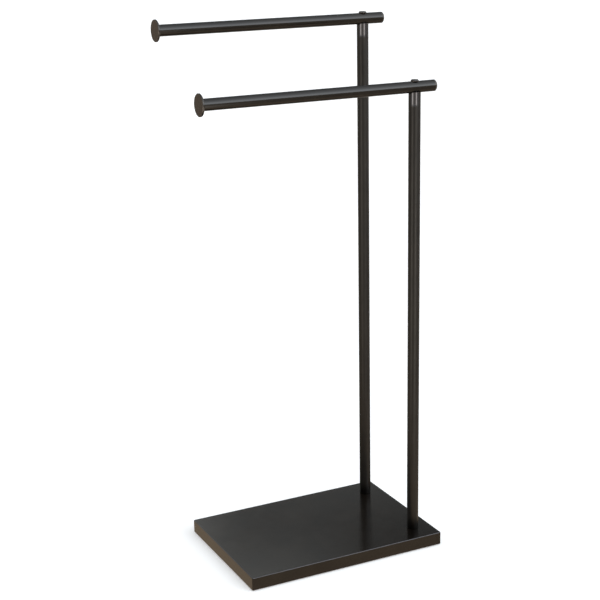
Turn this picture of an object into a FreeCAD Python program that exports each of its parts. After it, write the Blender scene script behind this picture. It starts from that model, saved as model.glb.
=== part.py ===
import FreeCAD
import Part
import Sketcher
import math
import os
from types import SimpleNamespace
from FreeCAD import Vector

# Freestanding towel stand: a weighted rectangular base, two round posts near its right end, and a
# round arm clamped across the top of each post.
# Frame: +X along the arms to their plain ends, +Y from the low front arm to the high rear arm,
# +Z up. The origin is on the floor, under the middle of the arms' length and between the arms.

# ---- Driving dimensions, in millimetres ----

SIZES = {
    # base slab: folded cover, ballast and bottom plate
    "base_length": 346,
    "base_depth": 243,
    "base_height": 21,
    "base_wall": 1.2,
    "base_corner_radius": 2,
    "base_edge_radius": 1.2,
    "ballast_thickness": 6,
    "ballast_margin": 0.8,
    "bottom_plate_thickness": 1.2,
    "bottom_plate_margin": 0.4,
    "access_hole_diameter": 22,
    # rubber feet
    "foot_diameter": 22,
    "foot_height": 2,
    "foot_chamfer": 0.5,
    "foot_inset": 18,
    # sleeves and countersunk screws that hold the bottom plate
    "spacer_diameter": 12,
    "plate_screw_diameter": 5,
    "plate_screw_head": 9.4,
    "plate_screw_engagement": 4,
    "plate_screw_socket": 3,
    "plate_screw_socket_depth": 1.8,
    "plate_screw_inset_x": 70,
    "plate_screw_inset_y": 25,
    # posts and their inner plugs
    "post_diameter": 19,
    "post_wall": 1.2,
    "post_inset_x": 31.5,
    "post_inset_y": 39.5,
    "foot_plug_length": 22,
    "foot_plug_bore_depth": 17,
    "saddle_depth": 1.5,
    "saddle_plug_length": 24,
    "saddle_plug_bore_depth": 18,
    # bolts from below, with a flat and a spring washer
    "post_bolt_diameter": 8,
    "post_bolt_flats": 13,
    "post_bolt_head": 5.3,
    "post_bolt_engagement": 14.2,
    "washer_diameter": 16,
    "washer_thickness": 1.6,
    "lock_washer_diameter": 14.8,
    "lock_washer_thickness": 2,
    "lock_washer_split": 1.2,
    # arms
    "arm_length": 394.5,
    "arm_tail": 36,
    "rear_bar_height": 854.5,
    "front_bar_height": 761.5,
    "bar_diameter": 18,
    "bar_wall": 1.2,
    "disc_diameter": 34,
    "disc_thickness": 3,
    "disc_chamfer": 0.6,
    "disc_spigot_length": 16,
    "plug_cap_thickness": 2.5,
    "plug_cap_chamfer": 1.2,
    "plug_reach": 10,
    "spigot_chamfer": 0.6,
    # low-head socket screws that clamp the arms
    "bar_screw_diameter": 6,
    "bar_screw_head": 12.4,
    "bar_screw_head_top": 10,
    "bar_screw_head_height": 2.5,
    "bar_screw_rim": 0.9,
    "bar_screw_engagement": 12,
    "bar_screw_socket": 4,
    "bar_screw_socket_depth": 1.7,
    "screw_point": 0.8,
    # clearances, each on the radius
    "press_gap": 0.03,
    "seat_gap": 0.05,
    "thread_gap": 0.05,
    "hole_gap": 0.3,
}

PLATE_SCREW_ANGLE = 90
PLATE_SCREW_COLUMNS = 3
PLATE_SCREW_ROWS = 2
DRILL_POINT_ANGLE = 118
FULL_TURN = 360
HEX_SIDES = 6
HEX_DIGITS = 9
TINY = 1e-6
EDGE_TOLERANCE = 1e-4


class Length:
    """A length that carries its value and the sheet formula that gives it."""

    def __init__(self, formula, value):
        self.formula = formula
        self.value = value

    def __add__(self, other):
        return Length(f"({self.formula} + {other.formula})", self.value + other.value)

    def __sub__(self, other):
        return Length(f"({self.formula} - {other.formula})", self.value - other.value)

    def __mul__(self, factor):
        return Length(f"({self.formula} * {factor})", self.value * factor)

    def __truediv__(self, divisor):
        return Length(f"({self.formula} / {divisor})", self.value / divisor)

    def __neg__(self):
        return self * -1


ZERO = Length("0", 0)
size = SimpleNamespace(**{name: Length(f"Sizes.{name}", value) for name, value in SIZES.items()})

# ---- Places that follow from the driving dimensions ----

post_x = size.arm_length / 2 - size.arm_tail
post_reach_y = size.base_depth / 2 - size.post_inset_y
post_y = {"front": -post_reach_y, "rear": post_reach_y}
bar_z = {"front": size.front_bar_height, "rear": size.rear_bar_height}
base_x = post_x + size.post_inset_x - size.base_length / 2
bolt_x = post_x - base_x

base_top = size.foot_height + size.base_height
ballast_z = base_top - size.base_wall - size.ballast_thickness
plate_top = size.foot_height + size.bottom_plate_thickness
spacer_length = ballast_z - plate_top
washer_z = ballast_z - size.washer_thickness
lock_washer_z = washer_z - size.lock_washer_thickness

cavity_length = size.base_length - size.base_wall * 2
cavity_depth = size.base_depth - size.base_wall * 2
screw_x = size.base_length / 2 - size.plate_screw_inset_x
screw_y = size.base_depth / 2 - size.plate_screw_inset_y
foot_x = size.base_length / 2 - size.foot_inset
foot_y = size.base_depth / 2 - size.foot_inset

post_bolt_hole = size.post_bolt_diameter + size.hole_gap * 2
post_thread = size.post_bolt_diameter + size.thread_gap * 2
plate_screw_hole = size.plate_screw_diameter + size.hole_gap * 2
plate_thread = size.plate_screw_diameter + size.thread_gap * 2
bar_screw_hole = size.bar_screw_diameter + size.hole_gap * 2
bar_thread = size.bar_screw_diameter + size.thread_gap * 2

post_bore = size.post_diameter - size.post_wall * 2
post_plug_diameter = post_bore - size.press_gap * 2
bar_bore = size.bar_diameter - size.bar_wall * 2
bar_spigot_radius = bar_bore / 2 - size.press_gap
bar_left = size.disc_thickness - size.arm_length / 2
bar_tube_length = size.arm_length - size.disc_thickness - size.plug_cap_thickness
saddle_diameter = size.bar_diameter + size.seat_gap * 2

# half the width that a countersunk cone gains per millimetre of its height
cone_slope = math.tan(math.radians(PLATE_SCREW_ANGLE / 2))
plate_countersink = size.plate_screw_head + size.seat_gap * 2
spacer_countersink = plate_countersink - size.bottom_plate_thickness * 2 * cone_slope


def post_top(arm):
    """Height of the coped end of one post."""
    return bar_z[arm] - size.bar_diameter / 2 + size.saddle_depth


# ---- Sketch helpers ----

def new_body(doc, name, x, y, z):
    """Start one piece at its place in the stand."""
    body = doc.addObject("PartDesign::Body", name)
    body.Label = name
    for axis, place in zip("xyz", (x, y, z)):
        body.setExpression(f"Placement.Base.{axis}", place.formula)
    return body


def new_sketch(body, name, plane_role, lift=ZERO):
    """Add a sketch on one of the piece's own planes, lifted along the plane's normal."""
    sketch = body.newObject("Sketcher::SketchObject", name)
    plane = next(item for item in body.Origin.OriginFeatures if item.Role == plane_role)
    sketch.AttachmentSupport = [(plane, "")]
    sketch.MapMode = "FlatFace"
    if lift is not ZERO:
        sketch.setExpression("AttachmentOffset.Base.z", lift.formula)
    return sketch


def tie(sketch, kind, first, last, length):
    """Constrain two sketch points and tie the dimension to its sheet formula."""
    index = sketch.addConstraint(Sketcher.Constraint(kind, *first, *last, length.value))
    sketch.setExpression(f"Constraints[{index}]", length.formula)


def tie_point(sketch, geometry, vertex, x, y):
    """Fix a sketch point at (x, y) from the sketch's origin."""
    origin = (-1, 1)
    point = (geometry, vertex)
    for axis, length, line in (("X", x, -2), ("Y", y, -1)):
        if abs(length.value) < TINY:
            sketch.addConstraint(Sketcher.Constraint("PointOnObject", geometry, vertex, line))
        elif length.value > 0:
            tie(sketch, "Distance" + axis, origin, point, length)
        else:
            tie(sketch, "Distance" + axis, point, origin, -length)


def draw_outline(sketch, corners):
    """Draw a closed straight-sided outline through (x, y) corners."""
    count = len(corners)
    points = [Vector(x.value, y.value, 0) for x, y in corners]
    lines = [sketch.addGeometry(Part.LineSegment(points[i], points[(i + 1) % count]), False)
             for i in range(count)]
    for i, (x, y) in enumerate(corners):
        sketch.addConstraint(Sketcher.Constraint("Coincident", lines[i - 1], 2, lines[i], 1))
        tie_point(sketch, lines[i], 1, x, y)


def draw_rectangle(sketch, length, depth):
    """Draw a rectangle centred on the sketch's origin."""
    right = length / 2
    back = depth / 2
    draw_outline(sketch, [(-right, -back), (right, -back), (right, back), (-right, back)])


def draw_hexagon(sketch, flats):
    """Draw a regular hexagon of a given width across flats."""
    radius = flats / math.sqrt(3)
    corners = []
    for i in range(HEX_SIDES):
        angle = math.radians(FULL_TURN * i / HEX_SIDES)
        x = radius * round(math.cos(angle), HEX_DIGITS)
        y = radius * round(math.sin(angle), HEX_DIGITS)
        corners.append((x, y))
    draw_outline(sketch, corners)


def draw_circle(sketch, diameter, x=ZERO, y=ZERO):
    """Draw a circle of a given diameter at (x, y)."""
    radius = diameter / 2
    centre = Vector(x.value, y.value, 0)
    circle = sketch.addGeometry(Part.Circle(centre, Vector(0, 0, 1), radius.value), False)
    tie_point(sketch, circle, 3, x, y)
    index = sketch.addConstraint(Sketcher.Constraint("Radius", circle, radius.value))
    sketch.setExpression(f"Constraints[{index}]", radius.formula)


# ---- Feature helpers ----

def pad(body, name, sketch, length, reverse=False):
    """Extrude a sketch into material."""
    feature = body.newObject("PartDesign::Pad", name)
    feature.Profile = sketch
    feature.Reversed = reverse
    feature.setExpression("Length", length.formula)
    return feature


def pocket_up(body, name, sketch, depth):
    """Cut a sketch into the piece, upwards from the sketch's plane."""
    feature = body.newObject("PartDesign::Pocket", name)
    feature.Profile = sketch
    feature.Reversed = True
    feature.setExpression("Length", depth.formula)
    return feature


def pocket_down(body, name, sketch, depth):
    """Cut a sketch into the piece, downwards from the sketch's plane."""
    feature = pocket_up(body, name, sketch, depth)
    feature.Reversed = False
    return feature


def pocket_through(body, name, sketch):
    """Cut a sketch right through the piece, both ways from the sketch's plane."""
    feature = body.newObject("PartDesign::Pocket", name)
    feature.Profile = sketch
    feature.Type = "ThroughAll"
    feature.SideType = "Symmetric"
    return feature


def revolve(body, name, sketch, axis):
    """Turn a profile about one of its sketch's axes."""
    feature = body.newObject("PartDesign::Revolution", name)
    feature.Profile = sketch
    feature.ReferenceAxis = (sketch, [axis])
    feature.Angle = FULL_TURN
    return feature


def drill(body, name, sketch, diameter, depth=None, reverse=False):
    """Drill the circles of a sketch, right through or to a depth with a pointed end."""
    body.Document.recompute()
    feature = body.newObject("PartDesign::Hole", name)
    feature.Profile = sketch
    feature.ThreadType = "None"
    feature.Reversed = reverse
    feature.setExpression("Diameter", diameter.formula)
    if depth is None:
        feature.DepthType = "ThroughAll"
        feature.DrillPoint = "Flat"
    else:
        feature.DepthType = "Dimension"
        feature.DrillPoint = "Angled"
        feature.DrillPointAngle = DRILL_POINT_ANGLE
        feature.setExpression("Depth", depth.formula)
    return feature


def countersink(feature, diameter):
    """Give a drilled hole a conical mouth."""
    feature.HoleCutType = "Countersink"
    feature.HoleCutCustomValues = True
    feature.HoleCutCountersinkAngle = PLATE_SCREW_ANGLE
    feature.setExpression("HoleCutDiameter", diameter.formula)


def dress(body, kind, name, base, wanted, length):
    """Fillet or chamfer the edges of the last feature that pass a test on their vertices."""
    body.Document.recompute()
    edges = [f"Edge{i}" for i, edge in enumerate(base.Shape.Edges, start=1) if wanted(edge)]
    if not edges:
        raise RuntimeError(f"{body.Label}: {name} finds no edges")
    feature = body.newObject(f"PartDesign::{kind}", name)
    feature.Base = (base, edges)
    feature.setExpression("Radius" if kind == "Fillet" else "Size", length.formula)
    return feature


def lies_at(axis, length):
    """Test for edges that lie whole at one coordinate of their piece."""
    def test(edge):
        ends = (getattr(edge.BoundBox, axis + "Min"), getattr(edge.BoundBox, axis + "Max"))
        return all(abs(end - length.value) < EDGE_TOLERANCE for end in ends)
    return test


def rim_at(axis, place, diameter):
    """Test for the circular edge of one diameter at one coordinate."""
    flat = lies_at(axis, place)

    def test(edge):
        if not flat(edge) or not isinstance(edge.Curve, Part.Circle):
            return False
        return abs(edge.Curve.Radius * 2 - diameter.value) < EDGE_TOLERANCE
    return test


def either(first, second):
    """Test for edges that pass one of two tests."""
    return lambda edge: first(edge) or second(edge)


def is_upright(edge):
    """Test for straight edges that run along Z."""
    box = edge.BoundBox
    return box.ZLength > EDGE_TOLERANCE > max(box.XLength, box.YLength)


def repeat_in_grid(body, span_x, span_y):
    """Copy the finished piece to the spots of the bottom plate's screws."""
    body.Document.recompute()
    grid = body.newObject("PartDesign::MultiTransform", "Grid")
    grid.TransformMode = "Whole shape"
    along = (("X_Axis", span_x, PLATE_SCREW_COLUMNS), ("Y_Axis", span_y, PLATE_SCREW_ROWS))
    steps = []
    for role, span, count in along:
        line = next(item for item in body.Origin.OriginFeatures if item.Role == role)
        step = body.newObject("PartDesign::LinearPattern", f"{body.Label}_{role}")
        step.Direction = (line, [""])
        step.Occurrences = count
        step.setExpression("Length", span.formula)
        steps.append(step)
    grid.Transformations = steps
    body.Tip = grid
    return grid


def spread(reach, count):
    """Equal steps from -reach to +reach."""
    return [reach * (2 * i / (count - 1) - 1) for i in range(count)]


def plate_screw_spots():
    """Centres of the bottom plate's screws, from the middle of the base."""
    columns = spread(screw_x, PLATE_SCREW_COLUMNS)
    rows = spread(screw_y, PLATE_SCREW_ROWS)
    return [(x, y) for y in rows for x in columns]


def bolt_spots():
    """Centres of the two post bolts, from the middle of the base."""
    return [(bolt_x, post_y[arm]) for arm in ("front", "rear")]


def draw_circles(sketch, diameter, spots):
    """Draw equal circles at several spots."""
    for x, y in spots:
        draw_circle(sketch, diameter, x, y)


# ---- Base ----

def make_base_cover(doc):
    """Folded cover, open below, with ground corners and two holes for the post bolts."""
    body = new_body(doc, "base_cover", base_x, ZERO, size.foot_height)
    outline = new_sketch(body, "CoverOutline", "XY_Plane")
    draw_rectangle(outline, size.base_length, size.base_depth)
    slab = pad(body, "CoverSlab", outline, size.base_height)
    corners = dress(body, "Fillet", "CoverCorners", slab, is_upright, size.base_corner_radius)
    top_edge = lies_at("Z", size.base_height)
    dress(body, "Fillet", "CoverTopEdge", corners, top_edge, size.base_edge_radius)
    cavity = new_sketch(body, "CoverCavity", "XY_Plane")
    draw_rectangle(cavity, cavity_length, cavity_depth)
    pocket_up(body, "CoverHollow", cavity, size.base_height - size.base_wall)
    holes = new_sketch(body, "CoverBoltSpots", "XY_Plane")
    draw_circles(holes, post_bolt_hole, bolt_spots())
    pocket_through(body, "CoverBoltHoles", holes)


def make_ballast_plate(doc):
    """Steel weight that lies against the cover and holds the bottom plate's screws."""
    body = new_body(doc, "ballast_plate", base_x, ZERO, ballast_z)
    outline = new_sketch(body, "BallastOutline", "XY_Plane")
    length = cavity_length - size.ballast_margin * 2
    depth = cavity_depth - size.ballast_margin * 2
    draw_rectangle(outline, length, depth)
    slab = pad(body, "BallastSlab", outline, size.ballast_thickness)
    dress(body, "Fillet", "BallastCorners", slab, is_upright, size.base_corner_radius)
    holes = new_sketch(body, "BallastBoltSpots", "XY_Plane")
    draw_circles(holes, post_bolt_hole, bolt_spots())
    pocket_through(body, "BallastBoltHoles", holes)
    threads = new_sketch(body, "BallastThreadSpots", "XY_Plane")
    draw_circles(threads, plate_thread, plate_screw_spots())
    pocket_through(body, "BallastThreads", threads)


def make_base_bottom_plate(doc):
    """Closing plate with countersunk screw holes and two openings under the post bolts."""
    body = new_body(doc, "base_bottom_plate", base_x, ZERO, size.foot_height)
    outline = new_sketch(body, "PlateOutline", "XY_Plane")
    length = cavity_length - size.bottom_plate_margin * 2
    depth = cavity_depth - size.bottom_plate_margin * 2
    draw_rectangle(outline, length, depth)
    slab = pad(body, "PlateSlab", outline, size.bottom_plate_thickness)
    dress(body, "Fillet", "PlateCorners", slab, is_upright, size.base_corner_radius)
    access = new_sketch(body, "PlateAccessSpots", "XY_Plane")
    draw_circles(access, size.access_hole_diameter, bolt_spots())
    pocket_through(body, "PlateAccessHoles", access)
    screws = new_sketch(body, "PlateScrewSpots", "XY_Plane")
    draw_circles(screws, plate_screw_hole, plate_screw_spots())
    holes = drill(body, "PlateScrewHoles", screws, plate_screw_hole, reverse=True)
    countersink(holes, plate_countersink)


def make_plate_spacers(doc):
    """Sleeves between ballast and bottom plate, with mouths that take the screws' cones."""
    body = new_body(doc, "plate_spacers", base_x - screw_x, -screw_y, plate_top)
    outline = new_sketch(body, "SleeveOutline", "XY_Plane")
    draw_circle(outline, size.spacer_diameter)
    pad(body, "Sleeve", outline, spacer_length)
    bore = new_sketch(body, "SleeveBoreSpot", "XY_Plane")
    draw_circle(bore, plate_screw_hole)
    hole = drill(body, "SleeveBoreHole", bore, plate_screw_hole, reverse=True)
    countersink(hole, spacer_countersink)
    repeat_in_grid(body, screw_x * 2, screw_y * 2)


def make_plate_screws(doc):
    """Countersunk screws from below, through the sleeves into the ballast."""
    body = new_body(doc, "plate_screws", base_x - screw_x, -screw_y, size.foot_height)
    shank = size.plate_screw_diameter / 2
    head = size.plate_screw_head / 2
    cone = (head - shank) / cone_slope
    tip = size.bottom_plate_thickness + spacer_length + size.plate_screw_engagement
    profile = new_sketch(body, "ScrewProfile", "XZ_Plane")
    draw_outline(profile, [
        (ZERO, ZERO),
        (head, ZERO),
        (shank, cone),
        (shank, tip),
        (ZERO, tip),
    ])
    revolve(body, "Screw", profile, "V_Axis")
    socket = new_sketch(body, "ScrewSocketOutline", "XY_Plane")
    draw_hexagon(socket, size.plate_screw_socket)
    pocket_up(body, "ScrewSocket", socket, size.plate_screw_socket_depth)
    repeat_in_grid(body, screw_x * 2, screw_y * 2)


def make_foot(doc, name, x, y):
    """One rubber pad under a corner of the bottom plate."""
    body = new_body(doc, name, base_x + x, y, ZERO)
    outline = new_sketch(body, "FootOutline", "XY_Plane")
    draw_circle(outline, size.foot_diameter)
    disc = pad(body, "FootDisc", outline, size.foot_height)
    dress(body, "Chamfer", "FootEdge", disc, lies_at("Z", ZERO), size.foot_chamfer)


# ---- Posts ----

def make_post(doc, arm):
    """Tube that stands on the base, its top end coped to cradle the arm."""
    body = new_body(doc, f"{arm}_post", post_x, post_y[arm], base_top)
    rings = new_sketch(body, "PostRings", "XY_Plane")
    draw_circle(rings, size.post_diameter)
    draw_circle(rings, post_bore)
    pad(body, "PostTube", rings, post_top(arm) - base_top)
    cope = new_sketch(body, "PostCope", "YZ_Plane")
    draw_circle(cope, saddle_diameter, ZERO, bar_z[arm] - base_top)
    pocket_through(body, "PostSaddle", cope)


def make_foot_plug(doc, arm):
    """Plug fixed in the post's lower end, threaded for the bolt from below."""
    body = new_body(doc, f"{arm}_foot_plug", post_x, post_y[arm], base_top)
    outline = new_sketch(body, "PlugOutline", "XY_Plane")
    draw_circle(outline, post_plug_diameter)
    plug = pad(body, "Plug", outline, size.foot_plug_length)
    upper_rim = lies_at("Z", size.foot_plug_length)
    dress(body, "Chamfer", "PlugEdge", plug, upper_rim, size.spigot_chamfer)
    bore = new_sketch(body, "PlugThreadSpot", "XY_Plane")
    draw_circle(bore, post_thread)
    drill(body, "PlugThread", bore, post_thread, size.foot_plug_bore_depth, reverse=True)


def make_saddle_plug(doc, arm):
    """Plug in the post's upper end, threaded for the arm's screw and hollowed to seat the arm."""
    body = new_body(doc, f"{arm}_saddle_plug", post_x, post_y[arm], post_top(arm))
    outline = new_sketch(body, "PlugOutline", "XY_Plane")
    draw_circle(outline, post_plug_diameter)
    plug = pad(body, "Plug", outline, size.saddle_plug_length, reverse=True)
    lower_rim = lies_at("Z", -size.saddle_plug_length)
    dress(body, "Chamfer", "PlugEdge", plug, lower_rim, size.spigot_chamfer)
    bore = new_sketch(body, "PlugThreadSpot", "XY_Plane")
    draw_circle(bore, bar_thread)
    drill(body, "PlugThread", bore, bar_thread, size.saddle_plug_bore_depth)
    cope = new_sketch(body, "PlugCope", "YZ_Plane")
    draw_circle(cope, saddle_diameter, ZERO, bar_z[arm] - post_top(arm))
    pocket_through(body, "PlugSaddle", cope)


def make_post_bolt(doc, arm):
    """Hexagon bolt that draws the post down on the base."""
    body = new_body(doc, f"{arm}_post_bolt", post_x, post_y[arm], lock_washer_z)
    hexagon = new_sketch(body, "BoltHexagon", "XY_Plane")
    draw_hexagon(hexagon, size.post_bolt_flats)
    pad(body, "BoltHead", hexagon, size.post_bolt_head, reverse=True)
    ring = new_sketch(body, "BoltShankOutline", "XY_Plane")
    draw_circle(ring, size.post_bolt_diameter)
    tip = base_top - lock_washer_z + size.post_bolt_engagement
    shank = pad(body, "BoltShank", ring, tip)
    end_rim = rim_at("Z", tip, size.post_bolt_diameter)
    dress(body, "Chamfer", "BoltPoint", shank, end_rim, size.screw_point)


def make_washer(doc, arm):
    """Flat washer under the ballast."""
    body = new_body(doc, f"{arm}_post_washer", post_x, post_y[arm], washer_z)
    rings = new_sketch(body, "WasherRings", "XY_Plane")
    draw_circle(rings, size.washer_diameter)
    draw_circle(rings, post_bolt_hole)
    pad(body, "Washer", rings, size.washer_thickness)


def make_lock_washer(doc, arm):
    """Split spring washer between the flat washer and the bolt's head."""
    body = new_body(doc, f"{arm}_lock_washer", post_x, post_y[arm], lock_washer_z)
    rings = new_sketch(body, "SpringRings", "XY_Plane")
    draw_circle(rings, size.lock_washer_diameter)
    draw_circle(rings, post_bolt_hole)
    pad(body, "SpringRing", rings, size.lock_washer_thickness)
    split = new_sketch(body, "SpringSplitOutline", "XY_Plane")
    half = size.lock_washer_split / 2
    outside = size.lock_washer_diameter
    draw_outline(split, [(ZERO, -half), (outside, -half), (outside, half), (ZERO, half)])
    pocket_through(body, "SpringSplit", split)


# ---- Arms ----

def make_bar(doc, arm):
    """Arm tube, cross-drilled over its post."""
    body = new_body(doc, f"{arm}_bar", bar_left, post_y[arm], bar_z[arm])
    rings = new_sketch(body, "BarRings", "YZ_Plane")
    draw_circle(rings, size.bar_diameter)
    draw_circle(rings, bar_bore)
    pad(body, "BarTube", rings, bar_tube_length)
    hole = new_sketch(body, "BarScrewSpot", "XY_Plane")
    draw_circle(hole, bar_screw_hole, post_x - bar_left, ZERO)
    pocket_through(body, "BarScrewHoles", hole)


def make_end_disc(doc, arm):
    """Turned stop disc with a spigot inside the arm's left end."""
    body = new_body(doc, f"{arm}_bar_end_disc", -size.arm_length / 2, post_y[arm], bar_z[arm])
    flange = size.disc_diameter / 2
    tip = size.disc_thickness + size.disc_spigot_length
    profile = new_sketch(body, "DiscProfile", "XZ_Plane")
    draw_outline(profile, [
        (ZERO, ZERO),
        (ZERO, flange),
        (size.disc_thickness, flange),
        (size.disc_thickness, bar_spigot_radius),
        (tip - size.spigot_chamfer, bar_spigot_radius),
        (tip, bar_spigot_radius - size.spigot_chamfer),
        (tip, ZERO),
    ])
    disc = revolve(body, "Disc", profile, "H_Axis")
    outer_rim = rim_at("X", ZERO, size.disc_diameter)
    inner_rim = rim_at("X", size.disc_thickness, size.disc_diameter)
    dress(body, "Chamfer", "DiscEdges", disc, either(outer_rim, inner_rim), size.disc_chamfer)


def make_end_plug(doc, arm):
    """Closing plug whose long spigot backs the tube up where the screw clamps it."""
    body = new_body(doc, f"{arm}_bar_end_plug", size.arm_length / 2, post_y[arm], bar_z[arm])
    cap = size.bar_diameter / 2
    tip = size.arm_tail + size.plug_reach
    profile = new_sketch(body, "PlugProfile", "XZ_Plane")
    draw_outline(profile, [
        (ZERO, ZERO),
        (ZERO, cap - size.plug_cap_chamfer),
        (-size.plug_cap_chamfer, cap),
        (-size.plug_cap_thickness, cap),
        (-size.plug_cap_thickness, bar_spigot_radius),
        (size.spigot_chamfer - tip, bar_spigot_radius),
        (-tip, bar_spigot_radius - size.spigot_chamfer),
        (-tip, ZERO),
    ])
    revolve(body, "Plug", profile, "H_Axis")
    hole = new_sketch(body, "PlugScrewSpot", "XY_Plane")
    draw_circle(hole, bar_screw_hole, -size.arm_tail, ZERO)
    pocket_through(body, "PlugScrewHole", hole)


def make_bar_screw(doc, arm):
    """Low-head socket screw down through the arm into the saddle plug."""
    crest = bar_z[arm] + size.bar_diameter / 2
    body = new_body(doc, f"{arm}_bar_screw", post_x, post_y[arm], crest)
    shank = size.bar_screw_diameter / 2
    head = size.bar_screw_head / 2
    head_top = size.bar_screw_head_top / 2
    tip = -size.bar_diameter - size.bar_screw_engagement
    profile = new_sketch(body, "ScrewProfile", "XZ_Plane")
    draw_outline(profile, [
        (ZERO, tip),
        (shank - size.screw_point, tip),
        (shank, tip + size.screw_point),
        (shank, ZERO),
        (head, ZERO),
        (head, size.bar_screw_rim),
        (head_top, size.bar_screw_head_height),
        (ZERO, size.bar_screw_head_height),
    ])
    revolve(body, "Screw", profile, "V_Axis")
    socket = new_sketch(body, "ScrewSocketOutline", "XY_Plane", size.bar_screw_head_height)
    draw_hexagon(socket, size.bar_screw_socket)
    pocket_down(body, "ScrewSocket", socket, size.bar_screw_socket_depth)


# ---- Assembly ----

def make_sheet(doc):
    """Put the driving dimensions in the document's sheet."""
    sheet = doc.addObject("Spreadsheet::Sheet", "Sizes")
    for row, (name, value) in enumerate(SIZES.items(), start=1):
        sheet.set(f"A{row}", name)
        sheet.set(f"B{row}", str(value))
        sheet.setAlias(f"B{row}", name)
    doc.recompute()


def make_stand(doc):
    """Make every piece of the stand."""
    make_base_cover(doc)
    make_ballast_plate(doc)
    make_base_bottom_plate(doc)
    make_plate_spacers(doc)
    make_plate_screws(doc)
    for side, x in (("left", -foot_x), ("right", foot_x)):
        make_foot(doc, f"front_{side}_foot", x, -foot_y)
        make_foot(doc, f"rear_{side}_foot", x, foot_y)
    for arm in ("front", "rear"):
        make_post(doc, arm)
        make_foot_plug(doc, arm)
        make_saddle_plug(doc, arm)
        make_post_bolt(doc, arm)
        make_washer(doc, arm)
        make_lock_washer(doc, arm)
        make_bar(doc, arm)
        make_end_disc(doc, arm)
        make_end_plug(doc, arm)
        make_bar_screw(doc, arm)


def check_features(doc):
    """Stop if a feature failed, or if a cut took nothing away."""
    for item in doc.Objects:
        if "Invalid" in item.State or "Error" in item.State:
            raise RuntimeError(f"{item.Label} failed: {item.State}")
        if item.TypeId in ("PartDesign::Pocket", "PartDesign::Hole"):
            if item.Shape.Volume > item.BaseFeature.Shape.Volume - TINY:
                raise RuntimeError(f"{item.Label} cuts nothing")


def write_pieces(doc):
    """Check each piece's shape and write it to its own file."""
    bodies = [item for item in doc.Objects if item.TypeId == "PartDesign::Body"]
    for body in bodies:
        if body.Shape.isNull() or not body.Shape.isValid() or not body.Shape.Solids:
            raise RuntimeError(f"{body.Label} has no valid solid")
    os.makedirs("parts", exist_ok=True)
    for body in bodies:
        body.Shape.exportStep(f"parts/{body.Label}.step")
        print(f"{body.Label}: {len(body.Shape.Solids)} solid(s), {body.Shape.Volume / 1000:.2f} cm3")


document = FreeCAD.newDocument("TowelStand")
make_sheet(document)
make_stand(document)
document.recompute()
check_features(document)
write_pieces(document)
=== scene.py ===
# Looks of the freestanding towel stand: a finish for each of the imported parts, a pale floor, soft studio
# light and the photograph's camera. Lengths are metres in the row frame.
from math import cos, pi, radians, sin

import bpy
from mathutils import Matrix, Vector


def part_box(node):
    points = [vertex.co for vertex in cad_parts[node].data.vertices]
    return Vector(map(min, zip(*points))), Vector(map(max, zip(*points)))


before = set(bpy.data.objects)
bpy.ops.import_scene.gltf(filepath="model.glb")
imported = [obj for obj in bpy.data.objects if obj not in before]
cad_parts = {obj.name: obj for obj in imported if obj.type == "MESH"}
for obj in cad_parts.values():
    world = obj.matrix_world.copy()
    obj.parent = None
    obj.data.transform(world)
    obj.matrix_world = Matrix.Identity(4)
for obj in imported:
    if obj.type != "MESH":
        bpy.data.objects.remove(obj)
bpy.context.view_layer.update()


def middle(node):
    """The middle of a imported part's box."""
    low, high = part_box(node)
    return (low + high) / 2


def half_size(node):
    """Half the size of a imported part's box, each way."""
    low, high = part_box(node)
    return (high - low) / 2


# ---------------------------------------------------------------- named values

CAMERA_TARGET = Vector((-0.00145, 0.0, 0.4239))
CAMERA_DISTANCE = 2.2045
CAMERA_AZIMUTH = radians(-26.15)
CAMERA_ELEVATION = radians(16.1)
CAMERA_ROLL = radians(-1.09)
CAMERA_LENS = 82.42
CAMERA_SENSOR = 36.0

FLOOR_HALF_SIZE = 40.0

# Colours, in linear light: oil-rubbed bronze, mill scale, turned steel, zinc plate and rubber
BRONZE_DARK = (0.0036, 0.0029, 0.0024, 1)
BRONZE_WARM = (0.0080, 0.0059, 0.0043, 1)
BRONZE_RUBBED = (0.3100, 0.2500, 0.2050, 1)
# The burnished colour is also used for the painted highlight under the posts' arms
BRONZE_BURNISH_AND_HIGHLIGHT = (0.1240, 0.1260, 0.1410, 1)
SCALE_DARK = (0.035, 0.036, 0.040, 1)
SCALE_PALE = (0.085, 0.085, 0.088, 1)
SCALE_RUST = (0.110, 0.042, 0.016, 1)
STEEL_DARK = (0.30, 0.29, 0.27, 1)
STEEL_PALE = (0.42, 0.41, 0.39, 1)
ZINC_DARK = (0.40, 0.42, 0.45, 1)
ZINC_PALE = (0.58, 0.60, 0.62, 1)
ZINC_WORN = (0.26, 0.25, 0.24, 1)
RUBBER = (0.010, 0.010, 0.011, 1)
RUBBER_DUST = (0.045, 0.043, 0.040, 1)

# Roughness of each finish, from its glossiest to its dullest places, and of the bronze where burnished or
# given a painted highlight
COAT_ROUGHNESS = (0.135, 0.160)
POST_ROUGHNESS = (0.34, 0.42)
SCREW_ROUGHNESS = (0.12, 0.18)
BURNISH_AND_HIGHLIGHT_ROUGHNESS = 0.06
SCALE_ROUGHNESS = (0.48, 0.85)
STEEL_ROUGHNESS = (0.26, 0.40)
ZINC_ROUGHNESS = (0.30, 0.44)
RUBBER_ROUGHNESS = (0.62, 0.85)

# How wide the rubbed edges are, and how strongly they are rubbed
BRONZE_WEAR_WIDTH, BRONZE_WEAR = 0.0012, 0.7
ZINC_WEAR_WIDTH, ZINC_WEAR = 0.0004, 0.5

# Radians of tool marks to the metre, which makes them 0.3 mm apart, and how far they waver
TOOL_MARKS = 21000.0
TOOL_WAVER = 0.0004

MICRON = 0.000001

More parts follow.
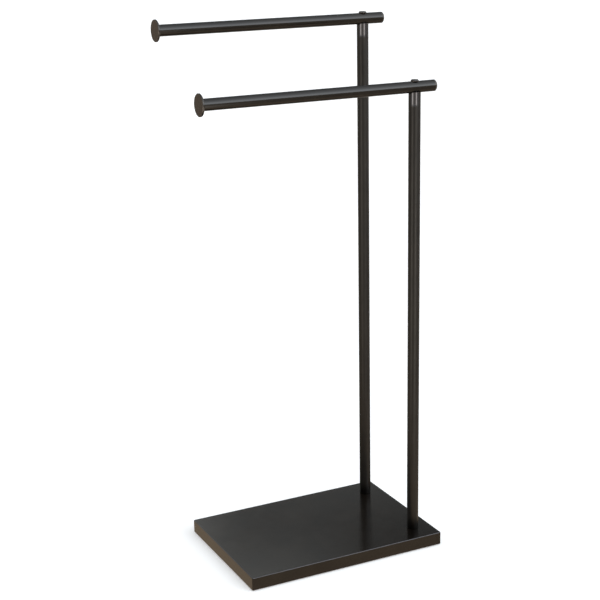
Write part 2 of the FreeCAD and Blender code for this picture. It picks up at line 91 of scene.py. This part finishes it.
# The middles of the arms and of the base in the frame, with the arms' radius, the base's half size and
# the radius of the edge round its top
FRONT_ARM, REAR_ARM = middle("front_bar"), middle("rear_bar")
ARM_RADIUS = half_size("front_bar").y
BASE, BASE_HALF = middle("base_cover"), half_size("base_cover")
BASE_TOP = BASE.z + BASE_HALF.z
BASE_EDGE = 0.0012

# How far below its arm a post's painted highlight is gone and where it is full, and the way the room side
# faces
NECK_END = (0.0215, 0.0145)
ROOM_SIDE = (-0.500, -0.866, 0.0)

# How far from its arm and from the base a post's painted shade is gone and where it is full, and the same
# for the fainter painted shade that reaches higher above the base
ARM_PAINTED_SHADE = (0.0016, 0.0006)
BASE_PAINTED_SHADE = (0.0018, 0.0006)
BASE_SHADE, BASE_SHADE_AMOUNT = (0.0260, 0.0040), 0.75

# The floor and the backdrop to look at
FLOOR_WHITE = (0.9, 0.9, 0.9, 1)
FLOOR_GLOW = 0.3
WHITE = (1.0, 1.0, 1.0, 1)

# The floor as gloss shows it, a glow of painted light and shade, from 0 behind the stand to 1 on the room
# side: close to the stand, darker behind it as painted shadow, and further off, where there is a bright
# patch on either side of the camera
NEAR_FLOOR = [(0.18, (0.12, 0.095, 0.07, 1)), (0.40, (0.64, 0.49, 0.34, 1))]
FAR_FLOOR = [
    (0.00, (0.62, 0.54, 0.46, 1)),
    (0.08, (0.58, 0.50, 0.42, 1)),
    (0.13, (0.30, 0.25, 0.20, 1)),
    (0.20, (0.42, 0.33, 0.25, 1)),
    (0.44, (0.33, 0.28, 0.22, 1)),
    (0.82, (0.46, 0.38, 0.30, 1)),
    (0.87, (2.80, 2.55, 2.22, 1)),
    (0.93, (2.90, 2.65, 2.30, 1)),
    (0.965, (0.70, 0.61, 0.50, 1)),
    (1.00, (0.42, 0.36, 0.29, 1)),
]
FLOOR_UNDER_BASE = (0.50, 0.42, 0.33, 1)

# Distances from the origin over which the floor under the base gives way to the near floor, and the
# near floor to the far one
UNDER_TO_NEAR = (0.06, 0.14)
NEAR_TO_FAR = (0.3, 1.2)

# The studio's light from 0 at the front horizon, by way of 0.5 overhead, to 1 at the back horizon
STUDIO_ARC = [
    (0.000, (0.55, 0.50, 0.42, 1)),
    (0.046, (0.55, 0.50, 0.42, 1)),
    (0.056, (3.20, 3.35, 3.50, 1)),
    (0.160, (3.20, 3.35, 3.50, 1)),
    (0.300, (1.75, 1.85, 1.95, 1)),
    (0.460, (1.00, 1.05, 1.10, 1)),
    (0.640, (0.40, 0.42, 0.43, 1)),
    (0.820, (0.26, 0.27, 0.28, 1)),
    (0.890, (0.24, 0.24, 0.25, 1)),
    (0.930, (0.28, 0.28, 0.28, 1)),
]
STUDIO_LEFT = (0.50, 0.48, 0.45, 1)
STUDIO_BELOW = (0.62, 0.59, 0.55, 1)

# The x and the z of the directions in which the studio's left side starts and is full, and the z in
# which the glow from below does
LEFT_BY_X = (0.25, -0.15)
LEFT_BY_Z = (0.85, 0.60)
BELOW_BY_Z = (0.0, -0.05)

# The wall behind. Each of its stretches has a start and a place where it is full, in degrees up from the
# horizon. Those called turn are in degrees round from straight behind to the right, and WALL_BY_Y is in
# the direction's y. A third number is how pale the stretch gets. Past its top and its turn, BAND_REST of
# the pale band is left
WALL_DARK = (0.024, 0.027, 0.030, 1)
WALL_PALE = (1.38, 1.40, 1.36, 1)
WALL_BOTTOM = (17.0, 20.0)
WALL_TOP = (37.0, 31.0)
WALL_BY_Y = (0.2, 0.5)
PALE_LEFT_TURN = (22.9, 20.4, 0.41)
PALE_FOOT = (25.1, 23.0, 0.34)
BAND_BOTTOM = (26.7, 27.8)
BAND_TOP = (30.0, 28.5)
BAND_TURN = (30.5, 25.5)
BAND_REST = 0.15


# ---------------------------------------------------------------- node trees


class Tree:
    """Short calls that build one node tree."""

    def __init__(self, tree):
        self.tree = tree
        tree.nodes.clear()

    def add(self, kind, inputs=None, **settings):
        """A new node. An input is a plain value, or the output that feeds it."""
        node = self.tree.nodes.new(kind)
        for name, value in settings.items():
            setattr(node, name, value)
        for key, value in (inputs or {}).items():
            if isinstance(value, bpy.types.NodeSocket):
                self.tree.links.new(value, node.inputs[key])
            else:
                node.inputs[key].default_value = value
        return node

    def noise(self, place, scale, detail=2.0, roughness=0.5, distortion=0.0):
        """Soft noise from about 0.3 to 0.7, with scale features to the metre."""
        inputs = {
            "Vector": place,
            "Scale": scale,
            "Detail": detail,
            "Roughness": roughness,
            "Distortion": distortion,
        }
        return self.add("ShaderNodeTexNoise", inputs).outputs["Fac"]

    def mottle(self, place, scale, low, high, distortion=0.0):
        """Noise spread out from low to high."""
        return self.fit(self.noise(place, scale, 3, 0.6, distortion), 0.3, 0.7, low, high)

    def fit(self, value, low, high, to_low=0.0, to_high=1.0, smooth=False):
        """value's range low to high, stretched to another and clamped there."""
        inputs = {0: value, 1: low, 2: high, 3: to_low, 4: to_high}
        kind = "SMOOTHSTEP" if smooth else "LINEAR"
        return self.add("ShaderNodeMapRange", inputs, interpolation_type=kind).outputs[0]

    def math(self, operation, first, second=0.0):
        """One sum, or a function of first alone."""
        return self.add("ShaderNodeMath", {0: first, 1: second}, operation=operation).outputs[0]

    def split(self, vector):
        """A vector's "X", "Y" and "Z"."""
        return self.add("ShaderNodeSeparateXYZ", {0: vector}).outputs

    def dot(self, first, second):
        """The dot product of two vectors."""
        inputs = {0: first, 1: second}
        return self.add("ShaderNodeVectorMath", inputs, operation="DOT_PRODUCT").outputs["Value"]

    def blend(self, amount, first, second):
        """Two colours mixed by amount."""
        inputs = {0: amount, 6: first, 7: second}
        return self.add("ShaderNodeMix", inputs, data_type="RGBA").outputs[2]

    def ramp(self, value, stops):
        """A colour for each value, from (place, colour) stops."""
        node = self.add("ShaderNodeValToRGB", {0: value})
        elements = node.color_ramp.elements
        while len(elements) > 1:
            elements.remove(elements[-1])
        elements[0].position, elements[0].color = stops[0]
        for place, colour in stops[1:]:
            elements.new(place).color = colour
        return node.outputs[0]

    def bump(self, height, depth, normal=None):
        """A bump of the given depth in metres."""
        inputs = {"Strength": 1.0, "Distance": depth, "Height": height}
        if normal:
            inputs["Normal"] = normal
        return self.add("ShaderNodeBump", inputs).outputs[0]


def new_material(name):
    """A material's tree, and its object coordinates, which are metres in the row frame."""
    material = bpy.data.materials.new(name)
    material.use_nodes = True
    tree = Tree(material.node_tree)
    place = tree.add("ShaderNodeTexCoord").outputs["Object"]
    return material, tree, place


def finish_material(tree, inputs):
    """The shader that the material ends in."""
    shader = tree.add("ShaderNodeBsdfPrincipled", inputs)
    tree.add("ShaderNodeOutputMaterial", {"Surface": shader.outputs[0]})


def edge_mask(tree, width):
    """1 along a part's edges, fading to 0 at about width from them."""
    round_normal = tree.add("ShaderNodeBevel", {"Radius": width}, samples=6).outputs[0]
    flat_normal = tree.add("ShaderNodeNewGeometry").outputs["Normal"]
    return tree.fit(tree.dot(round_normal, flat_normal), 0.998, 0.90)


# ---------------------------------------------------------------- finishes


def bronze(name, coat_roughness, burnish_and_highlight=None, painted_shade=None):
    """Dark oil-rubbed bronze, rubbed a little warmer along the edges.

    Where the first mask is 1 the coat is polished through to glossy metal: real burnish on the base's edge
    and the screws, and a painted highlight under the posts' arms. Where the second mask is 1 it is painted
    shade, dark metal that reflects next to nothing.
    """
    material, tree, place = new_material(name)
    cloudy = tree.fit(tree.noise(place, 22, 4, 0.55, 0.4), 0.35, 0.65)
    colour = tree.blend(cloudy, BRONZE_DARK, BRONZE_WARM)
    scuffs = tree.fit(tree.noise(place, 420, 3, 0.6), 0.40, 0.62)
    wear = tree.math("MULTIPLY", edge_mask(tree, BRONZE_WEAR_WIDTH), scuffs)
    wear = tree.math("MULTIPLY", wear, BRONZE_WEAR)
    colour = tree.blend(wear, colour, BRONZE_RUBBED)
    roughness = tree.mottle(place, 55, *coat_roughness, distortion=0.8)
    metal = wear
    if burnish_and_highlight:
        # On the posts this is a painted highlight; on the base's edge and the screws it is real burnish
        amount = burnish_and_highlight(tree, place)
        colour = tree.blend(amount, colour, BRONZE_BURNISH_AND_HIGHLIGHT)
        metal = tree.math("MAXIMUM", wear, amount)
        roughness = tree.fit(amount, 0.0, 0.7, roughness, BURNISH_AND_HIGHLIGHT_ROUGHNESS)
    if painted_shade:
        # Painted shade: dark metal that reflects next to nothing where the posts meet the arms and the
        # base
        amount = painted_shade(tree, place)
        colour = tree.blend(amount, colour, BRONZE_DARK)
        metal = tree.math("MAXIMUM", metal, amount)
    peel = tree.noise(place, 620, 2, 0.5)
    grain = tree.noise(place, 3200, 1, 0.5)
    inputs = {
        "Base Color": colour,
        "Metallic": metal,
        "Roughness": roughness,
        "IOR": 1.5,
        "Normal": tree.bump(grain, 0.4 * MICRON, tree.bump(peel, 2.5 * MICRON)),
    }
    finish_material(tree, inputs)
    return material


def bronze_finish():
    """The arms, their ends and the bottom plate: the plain coat."""
    return bronze("bronze_finish", COAT_ROUGHNESS)


def edge_burnish(tree, place):
    """Part-burnished along the rounded edge of the base's top, and 0 on its flat faces."""
    parts = tree.split(place)
    past_x = tree.math("ABSOLUTE", tree.math("SUBTRACT", parts["X"], BASE.x))
    past_x = tree.math("SUBTRACT", past_x, BASE_HALF.x - BASE_EDGE)
    past_y = tree.math("ABSOLUTE", tree.math("SUBTRACT", parts["Y"], BASE.y))
    past_y = tree.math("SUBTRACT", past_y, BASE_HALF.y - BASE_EDGE)
    out = tree.math("MAXIMUM", tree.math("MAXIMUM", past_x, past_y), 0.0)
    up = tree.math("SUBTRACT", parts["Z"], BASE_TOP - BASE_EDGE)
    # Only in the round are both above 0. Their product peaks halfway round, at half of full
    full = BASE_EDGE**2
    edge = tree.fit(tree.math("MULTIPLY", out, up), full * 0.1, full * 0.4)
    return tree.math("MULTIPLY", edge, tree.mottle(place, 90, 0.25, 0.55))


def base_bronze():
    """The base: the same coat, rubbed along the top's edge."""
    return bronze("base_bronze", COAT_ROUGHNESS, edge_burnish)


def under_arm(tree, place):
    """How far below its arm's axis and off its arm's surface a place on a post is."""
    parts = tree.split(place)
    rear = tree.math("GREATER_THAN", parts["Y"], (FRONT_ARM.y + REAR_ARM.y) / 2)
    arm_y = tree.fit(rear, 0.0, 1.0, FRONT_ARM.y, REAR_ARM.y)
    arm_z = tree.fit(rear, 0.0, 1.0, FRONT_ARM.z, REAR_ARM.z)
    across = tree.math("SUBTRACT", parts["Y"], arm_y)
    below = tree.math("SUBTRACT", arm_z, parts["Z"])
    squares = tree.math("ADD", tree.math("POWER", across, 2.0), tree.math("POWER", below, 2.0))
    return below, tree.math("SUBTRACT", tree.math("SQRT", squares), ARM_RADIUS)


def neck_painted_highlight(tree, place):
    """Painted highlight: 1 for a finger's width under the arm, on the side that faces the room, and 0
    elsewhere.
    """
    below = tree.math("SUBTRACT", under_arm(tree, place)[0], ARM_RADIUS)
    neck = tree.fit(below, *NECK_END, smooth=True)
    normal = tree.add("ShaderNodeNewGeometry").outputs["Normal"]
    side = tree.fit(tree.dot(normal, ROOM_SIDE), 0.74, 0.93, smooth=True)
    return tree.math("MULTIPLY", tree.math("MULTIPLY", neck, side), tree.mottle(place, 240, 0.80, 1.0))


def post_painted_shade(tree, place):
    """Painted shade: 1 where the post meets the arm and the base, and less for a finger's width above the
    base.
    """
    top = tree.fit(under_arm(tree, place)[1], *ARM_PAINTED_SHADE)
    height = tree.math("SUBTRACT", tree.split(place)["Z"], BASE_TOP)
    foot = tree.fit(height, *BASE_PAINTED_SHADE)
    above = tree.fit(height, *BASE_SHADE, 0.0, BASE_SHADE_AMOUNT, smooth=True)
    return tree.math("MAXIMUM", top, tree.math("MAXIMUM", foot, above))


def post_bronze():
    """The posts: a satin coat, with a painted highlight under the arms and painted shade where they meet
    the arms and the base.
    """
    return bronze("post_bronze", POST_ROUGHNESS, neck_painted_highlight, post_painted_shade)


def head_burnish(tree, place):
    """A light, patchy burnish all over."""
    return tree.mottle(place, 500, 0.10, 0.22)


def screw_bronze():
    """The clamp screws: glossier than what they hold, and burnished by the key."""
    return bronze("screw_bronze", SCREW_ROUGHNESS, head_burnish)


def ballast_steel():
    """Flame-cut plate with its blue-grey mill scale and specks of rust."""
    material, tree, place = new_material("ballast_steel")
    scale = tree.noise(place, 35, 6, 0.6, 0.5)
    colour = tree.ramp(scale, [(0.3, SCALE_DARK), (0.7, SCALE_PALE)])
    rust = tree.fit(tree.noise(place, 190, 5, 0.7), 0.60, 0.70)
    colour = tree.blend(rust, colour, SCALE_RUST)
    roughness = tree.fit(rust, 0.0, 1.0, *SCALE_ROUGHNESS)
    normal = tree.bump(tree.noise(place, 900, 4, 0.6), 40 * MICRON)
    inputs = {"Base Color": colour, "Metallic": 0.7, "Roughness": roughness, "Normal": normal}
    finish_material(tree, inputs)
    return material


def plug_steel():
    """Turned steel with fine tool marks round the axis, lightly oiled."""
    material, tree, place = new_material("plug_steel")
    waver = tree.math("MULTIPLY", tree.noise(place, 60, 2), TOOL_WAVER)
    along = tree.math("ADD", tree.split(place)["Z"], waver)
    turns = tree.math("SINE", tree.math("MULTIPLY", along, TOOL_MARKS))
    film = tree.noise(place, 120, 3, 0.6)
    colour = tree.ramp(film, [(0.3, STEEL_DARK), (0.7, STEEL_PALE)])
    roughness = tree.fit(film, 0.3, 0.7, *STEEL_ROUGHNESS)
    normal = tree.bump(turns, 4 * MICRON)
    inputs = {"Base Color": colour, "Metallic": 1.0, "Roughness": roughness, "Normal": normal}
    finish_material(tree, inputs)
    return material


def zinc_steel():
    """Clear-passivated zinc plate: pale blue-grey, with a soft sheen and dulled edges."""
    material, tree, place = new_material("zinc_steel")
    bloom = tree.noise(place, 260, 4, 0.6, 0.3)
    colour = tree.ramp(bloom, [(0.3, ZINC_DARK), (0.7, ZINC_PALE)])
    wear = tree.math("MULTIPLY", edge_mask(tree, ZINC_WEAR_WIDTH), ZINC_WEAR)
    colour = tree.blend(wear, colour, ZINC_WORN)
    roughness = tree.fit(bloom, 0.3, 0.7, *ZINC_ROUGHNESS)
    normal = tree.bump(tree.noise(place, 2600, 2, 0.5), 4 * MICRON)
    inputs = {"Base Color": colour, "Metallic": 1.0, "Roughness": roughness, "Normal": normal}
    finish_material(tree, inputs)
    return material


def foot_rubber():
    """Matt black moulded rubber with a fine grain and a trace of dust."""
    material, tree, place = new_material("foot_rubber")
    dust = tree.fit(tree.noise(place, 330, 5, 0.7), 0.50, 0.75)
    colour = tree.blend(dust, RUBBER, RUBBER_DUST)
    roughness = tree.fit(dust, 0.0, 1.0, *RUBBER_ROUGHNESS)
    normal = tree.bump(tree.noise(place, 2400, 3, 0.6), 20 * MICRON)
    finish_material(tree, {"Base Color": colour, "Roughness": roughness, "Normal": normal})
    return material


# Which nodes take which finish
FINISHES = {
    base_bronze: ("base_cover",),
    bronze_finish: (
        "base_bottom_plate",
        "front_bar",
        "rear_bar",
        "front_bar_end_disc",
        "rear_bar_end_disc",
        "front_bar_end_plug",
        "rear_bar_end_plug",
    ),
    post_bronze: ("front_post", "rear_post"),
    screw_bronze: ("front_bar_screw", "rear_bar_screw"),
    ballast_steel: ("ballast_plate",),
    plug_steel: (
        "front_foot_plug",
        "rear_foot_plug",
        "front_saddle_plug",
        "rear_saddle_plug",
    ),
    zinc_steel: (
        "plate_spacers",
        "plate_screws",
        "front_post_bolt",
        "rear_post_bolt",
        "front_post_washer",
        "rear_post_washer",
        "front_lock_washer",
        "rear_lock_washer",
    ),
    foot_rubber: ("front_left_foot", "front_right_foot", "rear_left_foot", "rear_right_foot"),
}


def dress(nodes):
    """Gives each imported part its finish."""
    for make, names in FINISHES.items():
        material = make()
        for name in names:
            mesh = nodes[name].data
            if not mesh.materials:
                mesh.materials.append(material)
            for index in range(len(mesh.materials)):
                mesh.materials[index] = material


# ---------------------------------------------------------------- studio


def floor_in_gloss(tree, place):
    """The floor's glow as gloss shows it: a warm, unevenly lit sweep of painted light and shade."""
    outward = tree.add("ShaderNodeVectorMath", {0: place}, operation="NORMALIZE").outputs[0]
    side = tree.fit(tree.dot(outward, ROOM_SIDE), -1.0, 1.0)
    reach = tree.add("ShaderNodeVectorMath", {0: place}, operation="LENGTH").outputs["Value"]
    near, far = tree.ramp(side, NEAR_FLOOR), tree.ramp(side, FAR_FLOOR)
    sweep = tree.blend(tree.fit(reach, *NEAR_TO_FAR), near, far)
    return tree.blend(tree.fit(reach, *UNDER_TO_NEAR), FLOOR_UNDER_BASE, sweep)


def floor_material():
    """Near-white paper to look at, a glow of painted light in gloss, and clear for looks at the underside.
    """
    material, tree, place = new_material("pale_floor")
    white = tree.add("ShaderNodeBsdfDiffuse", {"Color": FLOOR_WHITE}).outputs[0]
    glow = tree.add("ShaderNodeEmission", {"Color": WHITE, "Strength": FLOOR_GLOW}).outputs[0]
    seen = tree.add("ShaderNodeAddShader", {0: white, 1: glow}).outputs[0]
    inputs = {"Color": floor_in_gloss(tree, place), "Strength": 1.0}
    # In gloss the floor glows: painted light, and painted shadow close behind the stand
    reflected = tree.add("ShaderNodeEmission", inputs).outputs[0]
    glossy = tree.add("ShaderNodeLightPath").outputs["Is Glossy Ray"]
    above = tree.add("ShaderNodeMixShader", {0: glossy, 1: seen, 2: reflected}).outputs[0]
    clear = tree.add("ShaderNodeBsdfTransparent").outputs[0]
    below = tree.add("ShaderNodeNewGeometry").outputs["Backfacing"]
    surface = tree.add("ShaderNodeMixShader", {0: below, 1: above, 2: clear}).outputs[0]
    tree.add("ShaderNodeOutputMaterial", {"Surface": surface})
    return material


def pale_floor():
    """A wide plain floor under the feet."""
    half = FLOOR_HALF_SIZE
    corners = [(-half, -half, 0), (half, -half, 0), (half, half, 0), (-half, half, 0)]
    mesh = bpy.data.meshes.new("floor")
    mesh.from_pydata(corners, [], [(0, 1, 2, 3)])
    mesh.materials.append(floor_material())
    floor = bpy.data.objects.new("floor", mesh)
    bpy.context.scene.collection.objects.link(floor)


def slope(tree, angle, start, end, height=1.0, smooth=False, rest=0.0):
    """rest at the start angle, rising to height at the end angle. Both are in degrees."""
    return tree.fit(angle, radians(start), radians(end), rest, height, smooth)


def window_and_ceiling(tree, parts):
    """A tall window low in front on the right, under a ceiling that darkens to the back."""
    ahead = tree.math("MULTIPLY", parts["Y"], -1.0)
    arc = tree.math("DIVIDE", tree.math("ARCTAN2", parts["Z"], ahead), pi)
    light = tree.ramp(arc, STUDIO_ARC)
    # The window stops short of the camera's side
    left = tree.math("MULTIPLY", tree.fit(parts["X"], *LEFT_BY_X), tree.fit(parts["Z"], *LEFT_BY_Z))
    return tree.blend(left, light, STUDIO_LEFT)


def back_wall(tree, parts, light):
    """light, with a dark wall in it behind, which is paler to the left, above and along its foot."""
    turn = tree.math("ARCTAN2", parts["X"], parts["Y"])
    rise = tree.math("ARCSINE", parts["Z"])
    left = slope(tree, turn, *PALE_LEFT_TURN, smooth=True)
    foot = slope(tree, rise, *PALE_FOOT)
    band = slope(tree, rise, *BAND_BOTTOM, smooth=True)
    band = tree.math("MULTIPLY", band, slope(tree, turn, *BAND_TURN, rest=BAND_REST))
    band = tree.math("MULTIPLY", band, slope(tree, rise, *BAND_TOP, rest=BAND_REST))
    pale = tree.math("ADD", left, tree.math("ADD", band, foot))
    grey = tree.blend(tree.fit(pale, 0.0, 1.0), WALL_DARK, WALL_PALE)
    wall = slope(tree, rise, *WALL_BOTTOM, smooth=True)
    wall = tree.math("MULTIPLY", wall, slope(tree, rise, *WALL_TOP))
    wall = tree.math("MULTIPLY", wall, tree.fit(parts["Y"], *WALL_BY_Y))
    return tree.blend(wall, light, grey)


def soft_light():
    """A plain white backdrop to look at, and a softly lit studio in everything else."""
    world = bpy.data.worlds.new("studio")
    bpy.context.scene.world = world
    world.use_nodes = True
    tree = Tree(world.node_tree)
    direction = tree.add("ShaderNodeTexCoord").outputs["Generated"]
    parts = tree.split(direction)
    light = back_wall(tree, parts, window_and_ceiling(tree, parts))
    # Under the floor, an even glow for looks at the underside
    light = tree.blend(tree.fit(parts["Z"], *BELOW_BY_Z), light, STUDIO_BELOW)
    seen = tree.add("ShaderNodeLightPath").outputs["Is Camera Ray"]
    colour = tree.blend(seen, light, WHITE)
    shader = tree.add("ShaderNodeBackground", {"Color": colour, "Strength": 1.0})
    tree.add("ShaderNodeOutputWorld", {"Surface": shader.outputs[0]})


def photo_camera():
    """The photograph's camera, fitted to the stand's corners and ends."""
    azimuth, elevation, roll = CAMERA_AZIMUTH, CAMERA_ELEVATION, CAMERA_ROLL
    back = Vector((sin(azimuth) * cos(elevation), -cos(azimuth) * cos(elevation), sin(elevation)))
    level = Vector((cos(azimuth), sin(azimuth), 0.0))
    upright = back.cross(level)
    right = cos(roll) * level + sin(roll) * upright
    up = -sin(roll) * level + cos(roll) * upright
    data = bpy.data.cameras.new("photo_camera")
    data.sensor_fit = "HORIZONTAL"
    data.sensor_width = CAMERA_SENSOR
    data.lens = CAMERA_LENS
    data.clip_start = 0.01
    data.clip_end = 200.0
    camera = bpy.data.objects.new("photo_camera", data)
    bpy.context.scene.collection.objects.link(camera)
    turn = Matrix((right, up, back)).transposed().to_4x4()
    camera.matrix_world = Matrix.Translation(CAMERA_TARGET + back * CAMERA_DISTANCE) @ turn
    bpy.context.scene.camera = camera


bpy.context.scene.view_settings.view_transform = "Standard"
dress(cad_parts)
pale_floor()
soft_light()
photo_camera()
